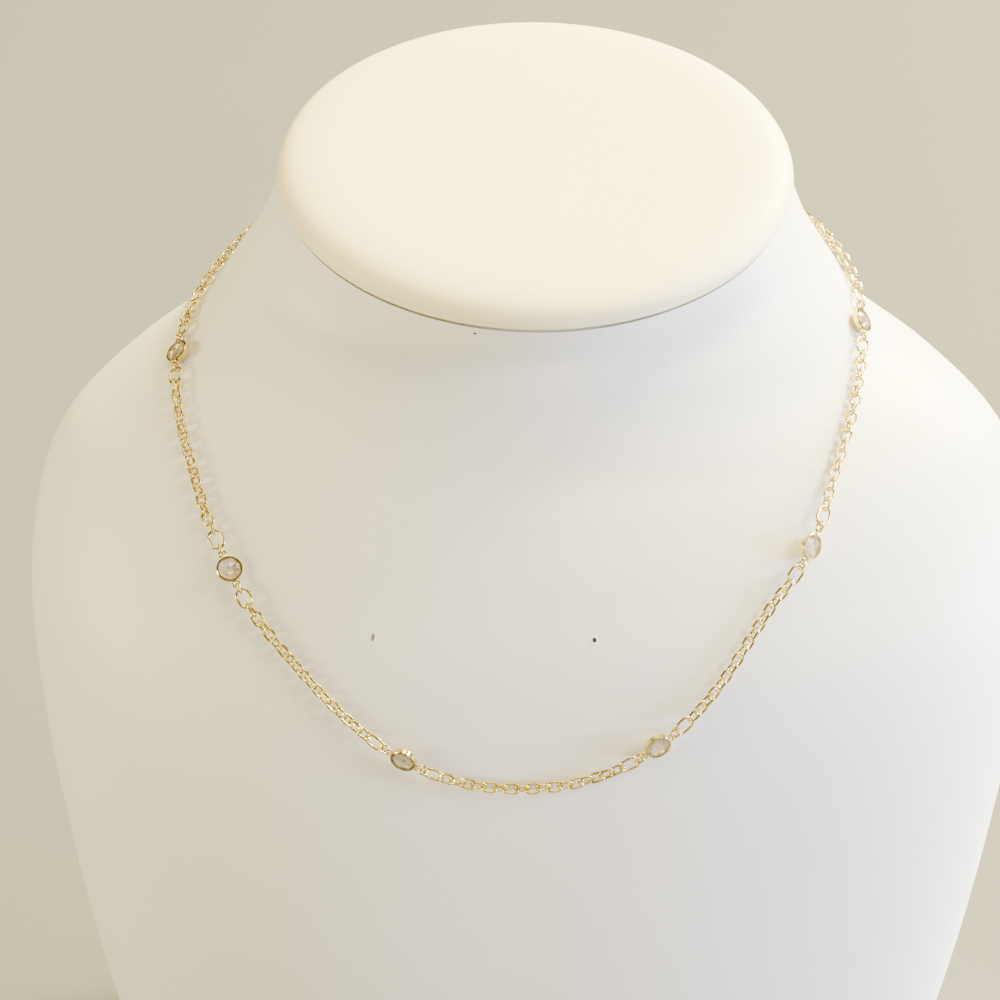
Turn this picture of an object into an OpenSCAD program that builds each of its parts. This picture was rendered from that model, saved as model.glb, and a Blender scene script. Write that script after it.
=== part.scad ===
// Station necklace: fine cable chain with bezel-set round rhinestones, worn on a plain neck bust.
// Millimetres, +Z up, the front of the bust looks along -Y, +X is to the right as seen from the front.
// The origin is at the centre of the base, on the surface that the bust stands on.

/* [Bust] */
// Points around each cross-section of the bust
bust_sides = 88; // [48:4:96]
// Rings between two neighbouring rows of the section table
bust_rings = 4; // [2:1:5]
// Width of the padded cap
cap_w = 100.4; // [98:0.2:103]
// Depth of the cap as a share of its width
cap_ratio = 0.88; // [0.8:0.01:0.9]
// Thickness of the cap in its middle
cap_h = 6.5; // [5:0.5:10]
// Radius of the cap's round lower edge
cap_edge = 2; // [1.5:0.1:2.5]
// How flat the cushion lies inside its edge, where more is flatter
cap_flat = 8; // [4:1:12]
// Gap under the cap, where it rests on the neck
cap_gap = 0.15; // [0.05:0.05:0.3]

/* [Chain] */
// Height of the chain's middle line above the skin of the bust
lift = 1.38; // [1.36:0.01:1.45]
// Small cable link: wire diameter
link_wire = 0.5; // [0.42:0.01:0.52]
// Small cable link: outside length
link_len = 3.33; // [3.29:0.01:3.38]
// Small cable link: outside width
link_w = 2.4; // [2.2:0.05:2.45]
// Large oval link: wire diameter
oval_wire = 0.5; // [0.4:0.01:0.52]
// Large oval link: outside length
oval_len = 4.2; // [4.1:0.05:4.25]
// Large oval link: outside width
oval_w = 3.1; // [2.8:0.05:3.2]
// Jump ring: wire diameter
ring_wire = 0.4; // [0.36:0.01:0.42]
// Jump ring: outside diameter
ring_d = 2.3; // [2.25:0.01:2.35]
// Free space between two links where they pass through each other
play = 0.18; // [0.16:0.01:0.2]
// Free space between a jump ring and the loop of a bezel
loop_play = 0.26; // [0.24:0.01:0.28]

/* [Stations] */
// Outside diameter of the bezel
bezel_d = 5; // [4.96:0.01:5.04]
// Wire diameter of the loops soldered to the bezel
loop_wire = 0.4; // [0.36:0.01:0.42]
// Diameter of the loops, to the middle of their wire
loop_d = 1.3; // [1.28:0.01:1.34]
// Diameter of the rhinestone at its girdle
stone_d = 4.4; // [4.3:0.02:4.44]
// Width of the rhinestone's table
table_d = 2.5; // [2.2:0.1:2.7]

/* [Clasp] */
// Outside diameter of the closed clasp ring
clasp_d = 5.5; // [5.3:0.1:5.7]
// Wire diameter of the clasp ring
clasp_wire = 0.9; // [0.7:0.05:0.95]
// Outside length of the oval end ring that hangs in the clasp
end_ring_len = 3.2; // [3:0.05:3.5]

/* [Hidden] */
STATIONS = 8;
SIDES = ["a", "b"];

// Cross-sections of the bust from the base up to the flat top of the neck. Columns:
// height of the middle, its place along Y, tilt, half width, depth to the front and to the back,
// and fullness, where 2 is an ellipse and more is squarer.
HEIGHT = 0;
MID_Y = 1;
TILT = 2;
HALF_W = 3;
FRONT = 4;
BACK = 5;
FULL = 6;
SECTIONS = [
    [0,     -6,   0,    82,   46,   41,   2.5],
    [36,    -6,   0,    90,   49.5, 45,   2.5],
    [66,    -5,   0,    95.5, 52,   48,   2.4],
    [94,    -3,   0,    99.5, 52.5, 49.5, 2.3],
    [116,   -0.5, 1,    101,  50,   49.5, 2.2],
    [134,   3,    3,    99,   45.5, 48.5, 2.1],
    [147,   6,    6,    94,   42,   47.5, 2],
    [157,   9,    9.5,  83,   40,   46.5, 2],
    [166,   11,   13,   68.5, 39,   45,   2],
    [175.5, 12.5, 16.5, 61,   38,   44,   2],
    [184.5, 13.5, 20,   54.5, 38,   43,   2],
    [195.8, 13.5, 23,   49.5, 43.6, 43.5, 2]
];
TOP = len(SECTIONS) - 1;

// The way of the necklace over the skin. Columns: turn around the neck in degrees, from 0 at the
// front to 180 at the back, right side positive, and level, as a place between the section rows.
WAY = [
    [-180, 8.8],
    [-150, 8.85],
    [-125, 8.8],
    [-105, 8.4],
    [-92, 8.1],
    [-80, 7.85],
    [-68, 7.55],
    [-57, 7.15],
    [-47, 6.5],
    [-39, 5.65],
    [-31, 4.75],
    [-24, 4.2],
    [-16, 3.65],
    [-8, 3.3],
    [0, 3.2],
    [8, 3.4],
    [16, 3.9],
    [24, 4.7],
    [31, 5.4],
    [39, 6.45],
    [47, 7.15],
    [57, 7.65],
    [68, 8.05],
    [80, 8.45],
    [92, 8.7],
    [105, 8.95],
    [125, 8.95],
    [150, 8.85]
];

// Middle of each station along the necklace, from 0 at the front centre, right side positive
STATION_AT = [-173, -124, -74.2, -25, 25.2, 73, 124.6, 174];
// How far each station is rolled about the chain as it lies, positive with its face away from the neck
STATION_ROLL = [0, 10, -28, 34, 30, 33, 5, 0];
// A rolled station rests on its rim, so the chain rises to it over this distance on each side
RISE_FLAT = 4.5;
RISE_RUN = 11;
RIM_GAP = 0.2;
// Small links in each length between two stations, and in the end lengths next to the clasp. The one that
// ends on the clasp's own loop has an odd number, the one that ends on the ring an even number.
LINKS = 17;
LOOP_END_LINKS = 19;
RING_END_LINKS = 20;
// How far the facing links of each length are rolled about the chain: at its start, middle and end
ROLL = [
    [0, 20, 0],
    [0, 30, 10],
    [10, 35, -10],
    [0, 35, 30],
    [32, 45, 25],
    [25, 20, 20],
    [15, 0, -5],
    [-5, 10, 0],
    [0, 20, 0]
];
// Small lean of single links, which keeps the chain from looking machined
LEAN = 4;
LEAN_STEP = 97;

BRIGHT_GOLD = [0.93, 0.8, 0.5];
CLEAR = [0.93, 0.9, 0.87, 0.6];
PALE = [0.95, 0.94, 0.9];

// Smooth curve through rows of numbers

function blend(a, b, c, d, t) =
    0.5 * (2 * b + (c - a) * t + (2 * a - 5 * b + 4 * c - d) * t * t + (3 * b - a - 3 * c + d) * t * t * t);

function open_row(rows, i) =
    let (last = len(rows) - 1)
    i < 0 ? 2 * rows[0] - rows[1] : i > last ? 2 * rows[last] - rows[last - 1] : rows[i];

function along_rows(rows, u) =
    let (i = max(0, min(floor(u), len(rows) - 2)))
    blend(open_row(rows, i - 1), open_row(rows, i), open_row(rows, i + 1), open_row(rows, i + 2), u - i);

// Skin of the bust

function power(v, e) = sign(v) * pow(abs(v), e);

function skin(turn, level) =
    let (
        row = along_rows(SECTIONS, level),
        across = row[HALF_W] * power(sin(turn), 2 / row[FULL]),
        out = -power(cos(turn), 2 / row[FULL]),
        deep = out * (out < 0 ? row[FRONT] : row[BACK])
    )
    [across, row[MID_Y] + deep * cos(row[TILT]), row[HEIGHT] + deep * sin(row[TILT])];

function unit(v) = v / norm(v);

function outward(turn, level) =
    let (d_turn = 0.5, d_level = 0.02)
    unit(cross(
        skin(turn + d_turn, level) - skin(turn - d_turn, level),
        skin(turn, level + d_level) - skin(turn, level - d_level)
    ));

// Way of the necklace, as a closed line above the skin

WAY_COUNT = len(WAY);
FINE = 16;
FINE_COUNT = WAY_COUNT * FINE;

function way_row(i) =
    let (lap = floor(i / WAY_COUNT))
    WAY[i - lap * WAY_COUNT] + [360 * lap, 0];

function way_place(u) =
    let (i = floor(u))
    blend(way_row(i - 1), way_row(i), way_row(i + 1), way_row(i + 2), u - i);

function above_skin(p, height) = skin(p[0], p[1]) + height * outward(p[0], p[1]);

WAY_POINTS = [for (k = [0:FINE_COUNT]) above_skin(way_place(k / FINE), lift)];
WAY_STEPS = [for (k = [1:FINE_COUNT]) norm(WAY_POINTS[k] - WAY_POINTS[k - 1])];
WAY_RUN = [
    for (k = 0, run = 0; k <= FINE_COUNT; run = run + (k < FINE_COUNT ? WAY_STEPS[k] : 0), k = k + 1) run
];
LENGTH = WAY_RUN[FINE_COUNT];
// The front centre is the row with no turn, and distances count from there
FRONT_ROW = search(0, WAY, 1, 0)[0];
FRONT_RUN = WAY_RUN[FRONT_ROW * FINE];
PLACE_BY_RUN = [for (k = [0:FINE_COUNT]) [WAY_RUN[k] - FRONT_RUN, k / FINE]];

// The line starts at the back, so a distance past the back centre comes in again at its other end
function around(s) =
    let (low = PLACE_BY_RUN[0][0])
    s - LENGTH * floor((s - low) / LENGTH);

function place(s) = lookup(around(s), PLACE_BY_RUN);

// Height of a station's middle, above the chain's usual one, that keeps its lower rim off the skin
function rise_of(k) =
    let (roll = abs(STATION_ROLL[k]))
    max(0, bezel_d / 2 * sin(roll) - bezel_low * cos(roll) + RIM_GAP - lift);

function ease(t) = t <= 0 ? 1 : t >= 1 ? 0 : 1 - t * t * (3 - 2 * t);

function height_at(s) =
    lift + max([for (k = [0:STATIONS - 1]) rise_of(k) * ease((abs(s - STATION_AT[k]) - RISE_FLAT) / RISE_RUN)]);

function middle(s) = above_skin(way_place(place(s)), height_at(s));

// Rows of a matrix that carries a piece to distance s: its X runs along the chain, its Z away from the skin
function frame_at(s) =
    let (
        near = 0.2,
        at = middle(s),
        p = way_place(place(s)),
        up = outward(p[0], p[1]),
        x = unit(middle(s + near) - middle(s - near)),
        z = unit(up - x * (up * x)),
        y = cross(z, x)
    )
    [
        [x[0], y[0], z[0], at[0]],
        [x[1], y[1], z[1], at[1]],
        [x[2], y[2], z[2], at[2]]
    ];

module on_chain(s) {
    multmatrix(frame_at(s)) children();
}

// Distances between the middles of neighbours on the chain

function wire_reach(len, wire) = len / 2 - wire / 2;

function step(len_a, wire_a, len_b, wire_b) =
    wire_reach(len_a, wire_a) + wire_reach(len_b, wire_b) - (wire_a + wire_b) / 2 - play;

// Middle of a soldered loop, out from the bezel or the clasp that it sits on
bezel_to_loop = 0.68;
clasp_to_loop = 0.5;
loop_out = bezel_d / 2 + bezel_to_loop;
loop_reach = loop_out + loop_d / 2;
bezel_to_ring = loop_reach + wire_reach(ring_d, ring_wire) - (loop_wire + ring_wire) / 2 - loop_play;
ring_to_oval = step(ring_d, ring_wire, oval_len, oval_wire);
oval_to_link = step(oval_len, oval_wire, link_len, link_wire);
station_to_oval = bezel_to_ring + ring_to_oval;
station_to_link = station_to_oval + oval_to_link;

clasp_loop_out = clasp_d / 2 + clasp_to_loop;
// The left end of the chain holds the clasp's own loop, the right end holds the end ring
clasp_to_link = clasp_loop_out + loop_d / 2 + wire_reach(link_len, link_wire)
    - (loop_wire + link_wire) / 2 - play;
clasp_to_ring = step(clasp_d, clasp_wire, end_ring_len, ring_wire);
ring_to_link = step(end_ring_len, ring_wire, link_len, link_wire);

// Lengths of chain: 0 runs from the clasp to the first station, 8 from the last station to the clasp
function first_link(k) = k == 0 ? -LENGTH / 2 + clasp_to_link : STATION_AT[k - 1] + station_to_link;
function last_link(k) =
    k == STATIONS ? LENGTH / 2 - clasp_to_ring - ring_to_link : STATION_AT[k] - station_to_link;
MOST_LINKS = max(LINKS, LOOP_END_LINKS, RING_END_LINKS);
function link_count(k) = k == 0 ? LOOP_END_LINKS : k == STATIONS ? RING_END_LINKS : LINKS;

function quadratic(row, t) =
    row[0] * (1 - t) * (1 - 2 * t) + row[1] * 4 * t * (1 - t) + row[2] * t * (2 * t - 1);

// Pieces

module bend(radius, wire) {
    rotate_extrude(angle = 180, start = -90, $fn = 48)
        translate([radius, 0]) circle(d = wire, $fn = 48);
}

// Oval link lying in the XY plane with its long side along X
module oval(len, w, wire) {
    radius = (w - wire) / 2;
    straight = len - w;
    for (side = [-1, 1]) {
        translate([side * straight / 2, 0, 0])
            rotate(side > 0 ? 0 : 180) bend(radius, wire);
        translate([-straight / 2, side * radius, 0])
            rotate([0, 90, 0]) cylinder(h = straight, d = wire, $fn = 48);
    }
}

module round_ring(outside, wire) {
    rotate_extrude($fn = 64)
        translate([(outside - wire) / 2, 0]) circle(d = wire, $fn = 48);
}

module small_link() {
    oval(link_len, link_w, link_wire);
}

module large_link() {
    oval(oval_len, oval_w, oval_wire);
}

// One length of chain between two stations, or between a station and the clasp
module chain_length(k, from = 0, to = MOST_LINKS) {
    count = link_count(k);
    a = first_link(k);
    pitch = (last_link(k) - a) / (count - 1);
    for (i = [max(0, from):min(count - 1, to)]) {
        t = i / (count - 1);
        roll = quadratic(ROLL[k], t) + (i % 2 == 0 ? 90 : 0);
        on_chain(a + i * pitch)
            rotate([roll, 0, 0])
            rotate(LEAN * sin(LEAN_STEP * (i + k / 2))) small_link();
    }
    if (k > 0 && from == 0)
        on_chain(STATION_AT[k - 1] + station_to_oval) rotate([ROLL[k][0], 0, 0]) large_link();
    if (k < STATIONS && to >= count)
        on_chain(STATION_AT[k] - station_to_oval) rotate([ROLL[k][2], 0, 0]) large_link();
}

// The two halves of the chain meet in the middle of the front length
FRONT_LENGTH = STATIONS / 2;
MIDDLE_LINK = floor(LINKS / 2);

module chain_left() {
    color(BRIGHT_GOLD) {
        for (k = [0:FRONT_LENGTH - 1]) chain_length(k);
        chain_length(FRONT_LENGTH, to = MIDDLE_LINK);
    }
}

module chain_right() {
    color(BRIGHT_GOLD) {
        chain_length(FRONT_LENGTH, from = MIDDLE_LINK + 1);
        for (k = [FRONT_LENGTH + 1:STATIONS]) chain_length(k);
    }
}

// Jump ring at one end of station k, upright between the bezel's loop and the oval link beyond it
module jump_ring(k, side) {
    left = side == SIDES[0];
    roll = (STATION_ROLL[k - 1] + (left ? ROLL[k - 1][2] : ROLL[k][0])) / 2 + 90;
    color(BRIGHT_GOLD)
        on_chain(STATION_AT[k - 1] + (left ? -1 : 1) * bezel_to_ring)
        rotate([roll, 0, 0]) round_ring(ring_d, ring_wire);
}

// Bezel: a shallow cup with a closed back, a seat under the stone's girdle and a thin lip folded over it.
// Heights count from the middle line of the chain, which the soldered loops share.
bezel_low = -0.68;
bezel_high = 0.44;
back_plate = 0.15;
girdle_low = 0.02;
girdle_high = 0.14;
bezel_edge = 0.08;
seat_in = 0.26;
lip_in = 0.14;
lip_under = 0.05;
lip_h = 0.14;
snug = 0.07;

module setting(k) {
    out = bezel_d / 2;
    wall = stone_d / 2 + snug;
    color(BRIGHT_GOLD) on_chain(STATION_AT[k - 1]) rotate([STATION_ROLL[k - 1], 0, 0]) {
        rotate_extrude($fn = 96)
            polygon([
                [0, bezel_low],
                [out - bezel_edge, bezel_low],
                [out, bezel_low + bezel_edge],
                [out, bezel_high - bezel_edge],
                [out - bezel_edge, bezel_high],
                [wall - lip_in, bezel_high],
                [wall - lip_in - lip_under, bezel_high - lip_h],
                [wall, girdle_high + snug],
                [wall, girdle_low - snug],
                [wall - seat_in, girdle_low - snug - seat_in],
                [wall - seat_in, bezel_low + back_plate],
                [0, bezel_low + back_plate]
            ]);
        for (side = [-1, 1])
            translate([side * loop_out, 0, 0]) round_ring(loop_d + loop_wire, loop_wire);
    }
}

// Round brilliant: table, star, kite and upper girdle facets, girdle, lower girdle facets, mains, culet
crown_h = 0.6;
pavilion_h = 0.48;
culet_d = 1.2;
// Places of the star tips and of the lower tips: share of the way out to the girdle, and of the height
star_out = 0.42;
star_up = 0.55;
tip_out = 0.45;
tip_down = 0.6;

module stone(k) {
    ring8 = [0:7];
    half = 22.5;
    radius = stone_d / 2;
    star_r = table_d / 2 + (radius - table_d / 2) * star_out;
    top = girdle_high + crown_h;
    star_z = girdle_high + crown_h * star_up;
    low_r = culet_d / 2 + (radius - culet_d / 2) * tip_out;
    low_z = girdle_low - pavilion_h * tip_down;
    function round8(r, z, shift) = [for (i = ring8) [r * cos(i * 45 + shift), r * sin(i * 45 + shift), z]];
    function round16(z) = [for (i = [0:15]) [radius * cos(i * half), radius * sin(i * half), z]];
    // Rows of points: 0 table, 8 star tips, 16 upper girdle, 32 lower girdle, 48 lower tips, 56 culet
    points = concat(
        round8(table_d / 2, top, 0),
        round8(star_r, star_z, half),
        round16(girdle_high),
        round16(girdle_low),
        round8(low_r, low_z, half),
        round8(culet_d / 2, girdle_low - pavilion_h, 0)
    );
    function upper(i) = 16 + (i + 16) % 16;
    function lower(i) = 32 + (i + 16) % 16;
    faces = concat(
        [[for (i = ring8) 7 - i]],
        [for (i = ring8) [i, (i + 1) % 8, 8 + i]],
        [for (i = ring8) [i, 8 + i, upper(2 * i)]],
        [for (i = ring8) [i, upper(2 * i), 8 + (i + 7) % 8]],
        [for (i = ring8) [8 + i, upper(2 * i + 1), upper(2 * i)]],
        [for (i = ring8) [8 + i, upper(2 * i + 2), upper(2 * i + 1)]],
        [for (i = [0:15]) [upper(i), upper(i + 1), lower(i + 1)]],
        [for (i = [0:15]) [upper(i), lower(i + 1), lower(i)]],
        [for (i = ring8) [48 + i, lower(2 * i), lower(2 * i + 1)]],
        [for (i = ring8) [48 + i, lower(2 * i + 1), lower(2 * i + 2)]],
        [for (i = ring8) [56 + i, lower(2 * i), 48 + i]],
        [for (i = ring8) [56 + i, 48 + (i + 7) % 8, lower(2 * i)]],
        [for (i = ring8) [56 + (i + 1) % 8, 56 + i, 48 + i]],
        [[for (i = ring8) 56 + i]]
    );
    color(CLEAR)
        on_chain(STATION_AT[k - 1]) rotate([STATION_ROLL[k - 1], 0, 0]) polyhedron(points, faces);
}

// Closed clasp behind the neck: a plain ring with one soldered loop for the chain's end
module clasp() {
    color(BRIGHT_GOLD) on_chain(LENGTH / 2) {
        round_ring(clasp_d, clasp_wire);
        translate([clasp_loop_out, 0, 0]) round_ring(loop_d + loop_wire, loop_wire);
    }
}

module clasp_ring() {
    color(BRIGHT_GOLD)
        on_chain(LENGTH / 2 - clasp_to_ring) rotate([90, 0, 0]) oval(end_ring_len, ring_d, ring_wire);
}

// Closed solid through rings of points, each with the same number of points
module lofted(rings) {
    n = len(rings[0]);
    m = len(rings);
    points = [for (ring = rings) each ring];
    faces = concat(
        [[for (i = [0:n - 1]) i]],
        [for (j = [0:m - 2], i = [0:n - 1]) [j * n + i, (j + 1) * n + i, (j + 1) * n + (i + 1) % n]],
        [for (j = [0:m - 2], i = [0:n - 1]) [j * n + i, (j + 1) * n + (i + 1) % n, j * n + (i + 1) % n]],
        [[for (i = [0:n - 1]) (m - 1) * n + n - 1 - i]]
    );
    polyhedron(points, faces);
}

module neck_bust() {
    levels = [for (k = [0:TOP * bust_rings]) k / bust_rings];
    color(PALE)
        lofted([for (u = levels) [for (i = [0:bust_sides - 1]) skin(i * 360 / bust_sides, u)]]);
}

// Padded oval cap, resting on the tilted top of the neck
module neck_cap() {
    top = SECTIONS[TOP];
    half = cap_w / 2;
    deep = half * cap_ratio;
    edge_steps = 4;
    cushion_steps = 10;
    // The cushion is flat further in than this share of its depth
    cushion_in = 0.6;
    // Columns: distance in from the widest line, height above the underside. The cushion's steps are short near
    // its edge, where it curves most.
    profile = concat(
        [for (i = [0:edge_steps]) let (a = 90 - 90 * i / edge_steps) [
            cap_edge * (1 - cos(a)),
            cap_edge * (1 - sin(a))
        ]],
        [for (i = [1:cushion_steps]) let (q = cushion_in * pow(i / cushion_steps, 2)) [
            deep * q,
            cap_edge + (cap_h - cap_edge) * sqrt(1 - pow(1 - q, cap_flat))
        ]]
    );
    color(PALE)
        translate([0, top[MID_Y], top[HEIGHT]])
        rotate([top[TILT], 0, 0])
        translate([0, 0, cap_gap])
        lofted([for (p = profile) [for (i = [0:bust_sides - 1]) let (a = i * 360 / bust_sides) [
            (half - p[0]) * sin(a),
            -(deep - p[0]) * cos(a),
            p[1]
        ]]]);
}

neck_bust();
neck_cap();
chain_left();
chain_right();
clasp();
clasp_ring();
for (k = [1:STATIONS]) {
    setting(k);
    stone(k);
    for (side = SIDES)
        jump_ring(k, side);
}
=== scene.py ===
"""Looks, lights and camera for the rhinestone station necklace on its neck bust.

Lengths are in metres, apart from the bust's own sizes and the pin marks, which are in millimetres.
"""

import math

import bpy
import numpy as np
from mathutils import Matrix, Vector


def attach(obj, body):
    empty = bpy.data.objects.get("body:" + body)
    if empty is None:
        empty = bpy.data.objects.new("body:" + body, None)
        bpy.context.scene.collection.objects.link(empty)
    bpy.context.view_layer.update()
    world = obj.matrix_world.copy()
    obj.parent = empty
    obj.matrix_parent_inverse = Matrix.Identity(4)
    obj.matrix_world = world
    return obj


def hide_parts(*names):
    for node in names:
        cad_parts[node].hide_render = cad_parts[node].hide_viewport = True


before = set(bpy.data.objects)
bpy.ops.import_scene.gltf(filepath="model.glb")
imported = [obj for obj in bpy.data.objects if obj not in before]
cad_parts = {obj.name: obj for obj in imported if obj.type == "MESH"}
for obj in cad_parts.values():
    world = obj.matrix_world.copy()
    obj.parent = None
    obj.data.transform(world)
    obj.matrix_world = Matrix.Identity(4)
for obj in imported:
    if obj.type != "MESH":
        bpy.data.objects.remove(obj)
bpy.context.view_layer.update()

MM = 0.001

# Sizes of the bust, in millimetres and degrees

# Cross-sections of the skin from the base to the top of the neck, as in the part's source. Columns: height of
# the middle, its place along Y, tilt, half width, depth to the front and to the back, and fullness.
SECTIONS = np.array([
    [0, -6, 0, 82, 46, 41, 2.5],
    [36, -6, 0, 90, 49.5, 45, 2.5],
    [66, -5, 0, 95.5, 52, 48, 2.4],
    [94, -3, 0, 99.5, 52.5, 49.5, 2.3],
    [116, -0.5, 1, 101, 50, 49.5, 2.2],
    [134, 3, 3, 99, 45.5, 48.5, 2.1],
    [147, 6, 6, 94, 42, 47.5, 2],
    [157, 9, 9.5, 83, 40, 46.5, 2],
    [166, 11, 13, 68.5, 39, 45, 2],
    [175.5, 12.5, 16.5, 61, 38, 44, 2],
    [184.5, 13.5, 20, 54.5, 38, 43, 2],
    [195.8, 13.5, 23, 49.5, 43.6, 43.5, 2],
])
TOP = len(SECTIONS) - 1
TOP_HEIGHT, TOP_Y, TOP_TILT = SECTIONS[TOP][:3]
SKIN_SIDES = 240
RINGS_PER_SECTION = 9
# A ring this far below the top, in rows, keeps the groove out of the skin's shading
LAST_STEP = 0.01

# The small round edge where the cover turns in under the base
BASE_EDGE = 1.6
BASE_EDGE_STEPS = 5

# The narrow groove round the top, under the cap's edge, where the two covers tuck in. Columns: distance in
# from the edge, depth.
GROOVE = [
    (0.1, 0),
    (0.16, 0.55),
    (2.2, 0.55),
    (2.4, 0),
]

# The padded cap, as in the part's source
CAP_HALF_W = 50.2
CAP_RATIO = 0.88
CAP_H = 6.5
CAP_EDGE = 2.0
CAP_FLAT = 8
CAP_GAP = 0.15

# The cap's steps round its lower edge and over its cushion, and the share of the way in to the middle that
# the last one reaches
CAP_EDGE_STEPS = 10
CUSHION_STEPS = 50
CUSHION_REACH = 0.985


def row_at(level):
    """Section row at a place between the rows, along one smooth curve."""
    padded = np.vstack([2 * SECTIONS[0] - SECTIONS[1], SECTIONS, 2 * SECTIONS[-1] - SECTIONS[-2]])
    i = min(max(int(math.floor(level)), 0), TOP - 1)
    t = level - i
    a, b, c, d = padded[i:i + 4]
    square = 2 * a - 5 * b + 4 * c - d
    cube = 3 * b - a - 3 * c + d
    return 0.5 * (2 * b + (c - a) * t + square * t**2 + cube * t**3)


def section_ring(level, turns, inset=0.0):
    """Points of one cross-section, in metres. Turn 0 is the front and turns grow towards +X."""
    height, mid_y, tilt, half_w, front, back, full = row_at(level)
    sine, cosine = np.sin(turns), -np.cos(turns)
    tilt = math.radians(tilt)
    across = (half_w - inset) * np.sign(sine) * np.abs(sine) ** (2 / full)
    deep = np.where(cosine < 0, front, back) - inset
    deep = deep * np.sign(cosine) * np.abs(cosine) ** (2 / full)
    return np.stack([across, mid_y + deep * math.cos(tilt), height + deep * math.sin(tilt)], 1) * MM


# Meshes

def mesh_object(name, points, faces, material, smooth=True):
    mesh = bpy.data.meshes.new(name)
    mesh.from_pydata([tuple(p) for p in points], [], faces)
    mesh.validate()
    mesh.polygons.foreach_set("use_smooth", [smooth] * len(mesh.polygons))
    mesh.materials.append(material)
    obj = bpy.data.objects.new(name, mesh)
    bpy.context.scene.collection.objects.link(obj)
    return obj


def band_faces(low, high, sides):
    """Faces between two rings of points that run the same way round, from their first points' numbers."""
    faces = []
    for i in range(sides):
        k = (i + 1) % sides
        faces.append((low + i, low + k, high + k, high + i))
    return faces


def loft_faces(ring_count, sides, closed_loop=False):
    """Faces between rings of points in a row, which either has a face at each end or closes on itself."""
    faces = []
    for j in range(ring_count if closed_loop else ring_count - 1):
        faces += band_faces(j * sides, (j + 1) % ring_count * sides, sides)
    if not closed_loop:
        faces.append(tuple(reversed(range(sides))))
        faces.append(tuple(range((ring_count - 1) * sides, ring_count * sides)))
    return faces


# Materials

class Nodes:
    """Short names for the shader nodes that the materials share. Texture scales are per metre."""

    def __init__(self, name):
        self.material = bpy.data.materials.new(name)
        self.material.use_nodes = True
        self.tree = self.material.node_tree
        self.shader = self.tree.nodes["Principled BSDF"]
        self.coords = self.tree.nodes.new("ShaderNodeTexCoord").outputs["Object"]

    def set(self, **values):
        for key, value in values.items():
            self.shader.inputs[key.replace("_", " ")].default_value = value

    def link(self, output, socket):
        self.tree.links.new(output, self.shader.inputs[socket])

    def noise(self, scale, detail):
        node = self.tree.nodes.new("ShaderNodeTexNoise")
        node.inputs["Scale"].default_value = scale
        node.inputs["Detail"].default_value = detail
        self.tree.links.new(self.coords, node.inputs["Vector"])
        return node.outputs["Fac"]

    def cells(self, scale):
        node = self.tree.nodes.new("ShaderNodeTexVoronoi")
        node.inputs["Scale"].default_value = scale
        self.tree.links.new(self.coords, node.inputs["Vector"])
        return node.outputs["Distance"]

    def ramp(self, source, low, high, low_at, high_at):
        """A number between low and high, or a colour where these are colours."""
        if isinstance(low, (int, float)):
            node = self.tree.nodes.new("ShaderNodeMapRange")
            node.inputs["From Min"].default_value = low_at
            node.inputs["From Max"].default_value = high_at
            node.inputs["To Min"].default_value = low
            node.inputs["To Max"].default_value = high
            self.tree.links.new(source, node.inputs["Value"])
            return node.outputs["Result"]
        node = self.tree.nodes.new("ShaderNodeValToRGB")
        first, last = node.color_ramp.elements
        first.position, first.color = low_at, (*low, 1)
        last.position, last.color = high_at, (*high, 1)
        self.tree.links.new(source, node.inputs["Fac"])
        return node.outputs["Color"]

    def bump(self, height, strength, distance, under=None):
        """A bumped normal, laid over the one under it if there is one."""
        node = self.tree.nodes.new("ShaderNodeBump")
        node.inputs["Strength"].default_value = strength
        node.inputs["Distance"].default_value = distance
        self.tree.links.new(height, node.inputs["Height"])
        if under is not None:
            self.tree.links.new(under, node.inputs["Normal"])
        return node.outputs["Normal"]


def leatherette(name, light, shade):
    """Smooth coated leatherette: faint colour drift, fine pores, soft satin gloss."""
    n = Nodes(name)
    n.link(n.ramp(n.noise(14, 4), light, shade, 0.35, 0.7), "Base Color")
    n.link(n.ramp(n.noise(900, 3), 0.4, 0.52, 0.3, 0.7), "Roughness")
    swell = n.bump(n.noise(60, 2), strength=0.25, distance=0.0003)
    pores = n.bump(n.cells(2200), strength=0.35, distance=0.00002, under=swell)
    grain = n.bump(n.noise(5200, 4), strength=0.25, distance=0.00001, under=pores)
    n.link(grain, "Normal")
    n.set(Sheen_Weight=0.08, Sheen_Roughness=0.6)
    return n.material


def gold(name, light, deep, smooth, dull):
    """Polished gold plate with faint wear and drawing marks."""
    n = Nodes(name)
    n.set(Metallic=1.0)
    n.link(n.ramp(n.noise(420, 3), light, deep, 0.35, 0.7), "Base Color")
    n.link(n.ramp(n.noise(2600, 4), smooth, dull, 0.3, 0.7), "Roughness")
    n.link(n.bump(n.noise(4200, 3), strength=0.18, distance=0.00001), "Normal")
    return n.material


def crystal(name):
    """Clear cut crystal with the faintest haze on its facets."""
    n = Nodes(name)
    # The crystal's faint warm tint is part of the painted reflection of the gold cup in the stones.
    n.set(Base_Color=(0.995, 0.957, 0.905, 1), Transmission_Weight=1.0, IOR=1.46)
    n.link(n.ramp(n.noise(900, 3), 0.0, 0.03, 0.35, 0.8), "Roughness")
    return n.material


def foil(name):
    """Satin foil behind the lower facets, a little milky; its warm peach tint is a painted reflection of the
    gold cup around it.
    """
    n = Nodes(name)
    n.set(Metallic=0.65)
    n.link(n.ramp(n.noise(500, 3), (1.0, 0.93, 0.78), (1.0, 0.8, 0.54), 0.4, 0.62), "Base Color")
    n.link(n.ramp(n.noise(900, 2), 0.16, 0.46, 0.38, 0.62), "Roughness")
    return n.material


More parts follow.
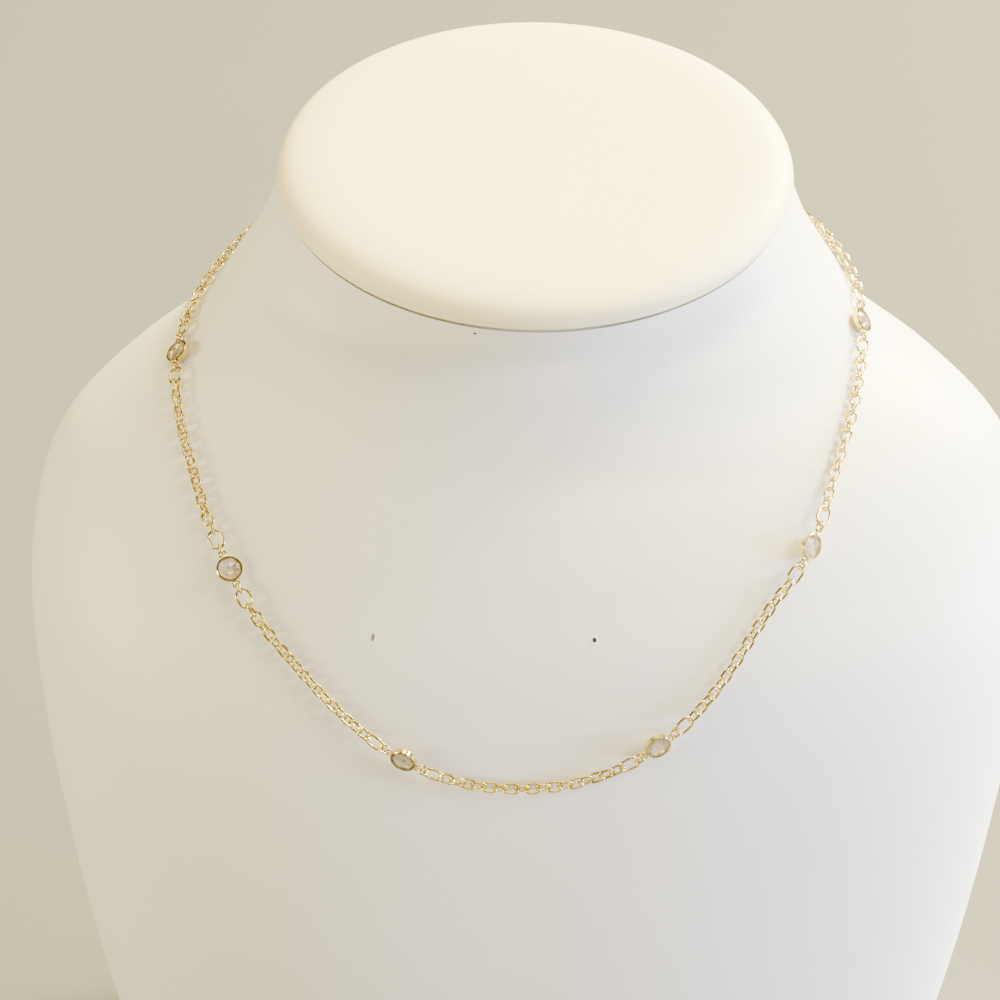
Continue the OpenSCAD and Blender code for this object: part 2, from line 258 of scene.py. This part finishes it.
def bare_mark(name, light, deep):
    """Dull mark in the cover: a dark dish of painted hole shade on pin holes, plain grey on the other mark.
    """
    n = Nodes(name)
    n.link(n.ramp(n.noise(3000, 3), deep, light, 0.3, 0.7), "Base Color")
    n.link(n.ramp(n.noise(4000, 2), 0.75, 0.95, 0.3, 0.7), "Roughness")
    n.set(Specular_IOR_Level=0.15)
    return n.material


def floor_paper(name, light, deep):
    """Plain matt paper with a faint drift."""
    n = Nodes(name)
    n.link(n.ramp(n.noise(3, 2), light, deep, 0.3, 0.7), "Base Color")
    n.set(Roughness=0.7)
    return n.material


SKIN = leatherette("bust_leatherette", (0.86, 0.85, 0.83), (0.83, 0.82, 0.795))
# The cap is the same white leatherette as the bust; its cream-yellow colour is painted warm light from above.
CAP_SKIN_PAINTED_WARM_LIGHT = leatherette("cap_leatherette_painted_warm_light", (0.965, 0.86, 0.56), (0.945, 0.84, 0.535))
LINK_GOLD = gold("link_gold", (0.84, 0.665, 0.17), (0.5, 0.38, 0.085), smooth=0.1, dull=0.26)
BEZEL_GOLD = gold("bezel_gold", (0.85, 0.705, 0.24), (0.5, 0.39, 0.11), smooth=0.06, dull=0.18)
CRYSTAL = crystal("crystal")
FOIL_PAINTED_GOLD_REFLECTION = foil("crystal_foil_painted_gold_reflection")
# Pin holes are flat dark dishes on the skin: their colour is painted shade inside the hole.
PIN_HOLE_PAINTED_SHADE = bare_mark("pin_hole_painted_shade", (0.05, 0.044, 0.037), (0.02, 0.018, 0.015))
PIN_GREY_MARK = bare_mark("pin_mark_grey", (0.26, 0.247, 0.228), (0.165, 0.156, 0.143))
PAPER = floor_paper("floor_paper", (0.1, 0.1, 0.115), (0.097, 0.097, 0.11155))


# The bust and its padded cap

def build_bust():
    """One closed cover: the edge under the base, the skin up to the top, and the groove round it."""
    turns = np.linspace(0, 2 * math.pi, SKIN_SIDES, endpoint=False)
    rings = []
    for k in range(BASE_EDGE_STEPS + 1):
        a = math.radians(90 * k / BASE_EDGE_STEPS)
        ring = section_ring(0, turns, BASE_EDGE * (1 - math.sin(a)))
        ring[:, 2] = BASE_EDGE * (1 - math.cos(a)) * MM
        rings.append(ring)
    levels = np.linspace(0, TOP, TOP * RINGS_PER_SECTION + 1)
    for level in (*levels[1:-1], TOP - LAST_STEP, TOP):
        ring = section_ring(level, turns)
        if ring[:, 2].min() > BASE_EDGE * MM:
            rings.append(ring)
    tilt = math.radians(TOP_TILT)
    outward = np.array([0, -math.sin(tilt), math.cos(tilt)])
    for inset, depth in GROOVE:
        rings.append(section_ring(TOP, turns, inset) - outward * depth * MM)
    return mesh_object("bust_cover", np.vstack(rings), loft_faces(len(rings), SKIN_SIDES), SKIN)


def build_cap():
    """Padded oval: a small round lower edge and a cushion that curves over into a nearly flat middle."""
    turns = np.linspace(0, 2 * math.pi, SKIN_SIDES, endpoint=False)
    half_depth = CAP_HALF_W * CAP_RATIO
    # Columns: distance in from the widest line, height above the underside
    profile = []
    for k in range(CAP_EDGE_STEPS + 1):
        a = math.radians(90 - 90 * k / CAP_EDGE_STEPS)
        profile.append((CAP_EDGE * (1 - math.cos(a)), CAP_EDGE * (1 - math.sin(a))))
    for k in range(1, CUSHION_STEPS + 1):
        share = CUSHION_REACH * (k / CUSHION_STEPS) ** 2
        rise = math.sqrt(1 - (1 - share) ** CAP_FLAT)
        profile.append((half_depth * share, CAP_EDGE + (CAP_H - CAP_EDGE) * rise))
    seat = Vector((0, TOP_Y, TOP_HEIGHT)) * MM
    place = Matrix.Translation(seat) @ Matrix.Rotation(math.radians(TOP_TILT), 4, "X")
    points = []
    for inward, height in profile:
        for t in turns:
            across = (CAP_HALF_W - inward) * math.sin(t)
            deep = -(half_depth - inward) * math.cos(t)
            points.append(place @ (Vector((across, deep, height + CAP_GAP)) * MM))
    return mesh_object("cap_cover", points, loft_faces(len(profile), SKIN_SIDES), CAP_SKIN_PAINTED_WARM_LIGHT)


# Marks left by pins in the cover. Columns: turn on the skin in degrees, level in rows, half width, half
# height, and whether it is a pin hole, shown as a dish in painted shade, rather than a grey mark.
PIN_MARKS = [
    (-12.94, 10.81, 0.27, 0.3, True),
    (-15.87, 4.53, 0.34, 0.78, False),
    (5.57, 4.56, 0.4, 0.48, True),
]
PIN_SIDES = 24

# From the rim to the middle. Columns: share of the mark's size, height above the skin.
PIN_PROFILE = [
    (1.7, -0.03),
    (1.35, 0.035),
    (1.1, 0.05),
    (1.0, 0.04),
    (0.85, 0.02),
    (0.45, 0.012),
    (0.05, 0.01),
]
# The band of the profile where the rim of leatherette ends and the mark begins
PIN_MARK_FROM = 3
# The pin marks' materials, by slot
RIM_SLOT, HOLE_SLOT, GREY_MARK_SLOT = range(3)


def skin_point(turn, level):
    return section_ring(level, np.array([turn]))[0]


def build_pin_marks():
    """Each mark is a small puckered rim of leatherette around a dish, dark with painted shade for a pin hole
    and grey for the other mark.
    """
    # Small move along the skin, in radians and in rows, to find its directions
    step = 0.01
    points, faces, slots = [], [], []
    for turn, level, half_w, half_h, is_hole in PIN_MARKS:
        turn = math.radians(turn)
        across = (skin_point(turn + step, level) - skin_point(turn, level)) / step
        up = (skin_point(turn, level + step) - skin_point(turn, level)) / step
        out = np.cross(across, up)
        out /= np.linalg.norm(out)
        turn_reach = half_w * MM / np.linalg.norm(across)
        level_reach = half_h * MM / np.linalg.norm(up)
        mark_slot = HOLE_SLOT if is_hole else GREY_MARK_SLOT
        first = len(points)
        for share, height in PIN_PROFILE:
            for i in range(PIN_SIDES):
                a = 2 * math.pi * i / PIN_SIDES
                at_turn = turn + share * turn_reach * math.cos(a)
                at_level = level + share * level_reach * math.sin(a)
                points.append(skin_point(at_turn, at_level) + height * MM * out)
        last = first + (len(PIN_PROFILE) - 1) * PIN_SIDES
        for band, low in enumerate(range(first, last, PIN_SIDES)):
            faces += band_faces(low, low + PIN_SIDES, PIN_SIDES)
            slots += [mark_slot if band >= PIN_MARK_FROM else RIM_SLOT] * PIN_SIDES
        faces.append(tuple(range(last, last + PIN_SIDES)))
        slots.append(mark_slot)
    obj = mesh_object("pin_marks", points, faces, SKIN)
    obj.data.materials.append(PIN_HOLE_PAINTED_SHADE)
    obj.data.materials.append(PIN_GREY_MARK)
    for polygon, slot in zip(obj.data.polygons, slots):
        polygon.material_index = slot
    return obj


# Links and stones, each made from its solid in the CAD model

# Corners that round to the same place at this many steps to a metre count as one point
WELD_STEPS = 1e7
# Flat faces whose normals agree this well belong to one facet
SAME_FACET = 0.9999
# Facets that face this much away from the table lie on the foil
BELOW_GIRDLE = -0.1


def loose_parts(node):
    """Triangles of each separate solid of a CAD node, as arrays of corner points."""
    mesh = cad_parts[node].data
    mesh.calc_loop_triangles()
    co = np.zeros(len(mesh.vertices) * 3)
    mesh.vertices.foreach_get("co", co)
    co = co.reshape(-1, 3)
    corners = np.zeros(len(mesh.loop_triangles) * 3, int)
    mesh.loop_triangles.foreach_get("vertices", corners)
    corners = corners.reshape(-1, 3)
    _, same = np.unique(np.round(co * WELD_STEPS).astype(np.int64), axis=0, return_inverse=True)
    same = same.reshape(-1)
    corners_same = same[corners]
    # Each point takes the lowest label of its neighbours until nothing changes
    label = np.arange(same.max() + 1)
    while True:
        low = label[corners_same].min(1)
        new = label.copy()
        for column in range(3):
            np.minimum.at(new, corners_same[:, column], low)
        new = new[new]
        if (new == label).all():
            break
        label = new
    part_of = label[corners_same[:, 0]]
    return [co[corners[part_of == k]] for k in np.unique(part_of)]


def principal_frame(triangles):
    """Middle, axes (longest first) and sizes of one solid, from its surface."""
    middle = triangles.mean(1)
    a, b, c = triangles.transpose(1, 0, 2)
    area = np.linalg.norm(np.cross(b - a, c - a), axis=1)
    centre = (middle * area[:, None]).sum(0) / area.sum()
    spread = middle - centre
    _, vectors = np.linalg.eigh((spread * area[:, None]).T @ spread)
    axes = vectors[:, ::-1].T
    if np.dot(np.cross(axes[0], axes[1]), axes[2]) < 0:
        axes[2] = -axes[2]
    local = triangles.reshape(-1, 3) @ axes.T
    low, high = local.min(0), local.max(0)
    return ((low + high) / 2) @ axes, axes, high - low


def oval_wire(length, width, wire, arc_steps=20, sides=14):
    """Points and faces of a closed oval of round wire in the XY plane, long side along X."""
    radius = (width - wire) / 2
    straight = length - width
    # Columns: middle of the end's arc along X, direction away from it
    path = []
    for arc_x, start in ((straight / 2, -90), (-straight / 2, 90)):
        for k in range(arc_steps + 1):
            a = math.radians(start + 180 * k / arc_steps)
            path.append((arc_x, math.cos(a), math.sin(a)))
    points = []
    for arc_x, out_x, out_y in path:
        for i in range(sides):
            b = 2 * math.pi * i / sides
            reach = radius + wire / 2 * math.cos(b)
            points.append((arc_x + out_x * reach, out_y * reach, wire / 2 * math.sin(b)))
    return np.array(points), loft_faces(len(path), sides, closed_loop=True)


def build_links(node):
    """One piece with a finer copy of every link of a chain node."""
    points, faces = [], []
    count = 0
    for triangles in loose_parts(node):
        centre, axes, size = principal_frame(triangles)
        local, local_faces = oval_wire(*size)
        points.append(local @ axes + centre)
        faces += [tuple(i + count for i in face) for face in local_faces]
        count += len(local)
    return mesh_object(node + "_links", np.vstack(points), faces, LINK_GOLD)


def build_stone(k):
    """The stone's own facets, with the ones below the girdle on a satin foil."""
    triangles = np.concatenate(loose_parts(f"stone_{k}"))
    corners, index = np.unique(np.round(triangles.reshape(-1, 3), 8), axis=0, return_inverse=True)
    obj = mesh_object(f"rhinestone_{k}", corners, index.reshape(-1, 3).tolist(), CRYSTAL, smooth=False)
    obj.data.materials.append(FOIL_PAINTED_GOLD_REFLECTION)
    normals = np.array([polygon.normal for polygon in obj.data.polygons])
    areas = np.array([polygon.area for polygon in obj.data.polygons])
    # The table is the widest flat face, and its normal is the stone's axis
    axis = normals[np.argmax((normals @ normals.T > SAME_FACET) @ areas)]
    for polygon, below in zip(obj.data.polygons, normals @ axis < BELOW_GIRDLE):
        polygon.material_index = int(below)
    return obj


# Pieces

root = "root"
STATIONS = range(1, 9)

bust = build_bust()
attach(bust, root)
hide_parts("neck_bust")

cap = build_cap()
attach(cap, root)
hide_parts("neck_cap")

for node in ("chain_left", "chain_right"):
    links = build_links(node)
    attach(links, root)
    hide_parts(node)

for k in STATIONS:
    stone = build_stone(k)
    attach(stone, root)
    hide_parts(f"stone_{k}")

marks = build_pin_marks()
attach(marks, root)


def dress(node, material):
    """A CAD node that shows as it is, in its own material."""
    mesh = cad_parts[node].data
    mesh.materials.clear()
    mesh.materials.append(material)


dress("clasp", BEZEL_GOLD)
dress("clasp_ring", LINK_GOLD)
for k in STATIONS:
    dress(f"setting_{k}", BEZEL_GOLD)
    for side in "ab":
        dress(f"ring_{k}{side}", LINK_GOLD)


# Floor, surroundings, light and camera

FLOOR_HALF = 4.0

floor = mesh_object(
    "floor",
    [
        (-FLOOR_HALF, -FLOOR_HALF, 0),
        (FLOOR_HALF, -FLOOR_HALF, 0),
        (FLOOR_HALF, FLOOR_HALF, 0),
        (-FLOOR_HALF, FLOOR_HALF, 0),
    ],
    [(0, 1, 2, 3)],
    PAPER,
)

# Studio surroundings, a pale band round the horizon and dim above it. Columns: height of the direction,
# from level at 0 to straight up at 1, and its tone.
SURROUNDINGS = [
    (0.1, (0.6, 0.585, 0.55)),
    (0.25, (0.15, 0.147, 0.14)),
    (0.6, (0.17, 0.166, 0.157)),
]

world = bpy.data.worlds.new("studio")
world.use_nodes = True
tree = world.node_tree
ramp = tree.nodes.new("ShaderNodeValToRGB")
split = tree.nodes.new("ShaderNodeSeparateXYZ")
tree.links.new(tree.nodes.new("ShaderNodeTexCoord").outputs["Generated"], split.inputs["Vector"])
tree.links.new(split.outputs["Z"], ramp.inputs["Fac"])
tree.links.new(ramp.outputs["Color"], tree.nodes["Background"].inputs["Color"])
ramp.color_ramp.elements.new(0.5)
for stop, (height, tone) in zip(ramp.color_ramp.elements, SURROUNDINGS):
    stop.position = height
    stop.color = (*tone, 1)
bpy.context.scene.world = world

CHEST = Vector((0, 0, 0.14))

# Area lights, all aimed at the chest. Columns: name, place, width, height, watts, colour.
LIGHTS = [
    ("side", (3.0, 2.0, 3.44), 2.0, 2.0, 2950, (1.0, 0.895, 0.42)),
    ("ceiling", (0.0, 0.5, 4.94), 3.0, 3.0, 290, (1.0, 0.76, 0.2)),
    ("low_left", (-4.0, -1.5, 0.6), 1.5, 1.1, 236, (1.0, 0.885, 0.442)),
    ("low_right", (4.5, -0.5, 0.5), 1.5, 0.9, 896, (0.512, 0.61, 1.0)),
    ("front", (0.5, -5.5, 0.75), 3.0, 1.4, 72, (1.0, 0.85, 0.772)),
    ("high_right", (3.75, -1.75, 3.44), 1.5, 1.5, 320, (1.0, 0.866, 0.605)),
]
for name, place, width, height, watts, color in LIGHTS:
    light_data = bpy.data.lights.new(name, "AREA")
    light_data.shape = "RECTANGLE"
    light_data.size = width
    light_data.size_y = height
    light_data.energy = watts
    light_data.color = color
    light = bpy.data.objects.new(name, light_data)
    light.location = place
    light.rotation_euler = (CHEST - Vector(place)).to_track_quat("-Z", "Y").to_euler()
    bpy.context.scene.collection.objects.link(light)

# The photo's camera, fitted to the bust's outline and to the stations. Focal length and sensor width are in
# millimetres.
ELEVATION = math.radians(25)
ROLL = math.radians(0.43)
DISTANCE = 0.515
TARGET = Vector((-0.00643, -0.0171, 0.14025))
FOCAL = 95.65
SENSOR_W = 36

back = Vector((0, -math.cos(ELEVATION), math.sin(ELEVATION)))
right = Vector((1, 0, 0))
up = back.cross(right)
rolled_right = math.cos(ROLL) * right + math.sin(ROLL) * up
rolled_up = math.cos(ROLL) * up - math.sin(ROLL) * right
camera_data = bpy.data.cameras.new("camera")
camera_data.lens = FOCAL
camera_data.sensor_width = SENSOR_W
camera_data.clip_start = 0.01
camera = bpy.data.objects.new("camera", camera_data)
camera_turn = Matrix((rolled_right, rolled_up, back)).transposed().to_4x4()
camera.matrix_world = Matrix.Translation(TARGET + back * DISTANCE) @ camera_turn
bpy.context.scene.collection.objects.link(camera)
bpy.context.scene.camera = camera
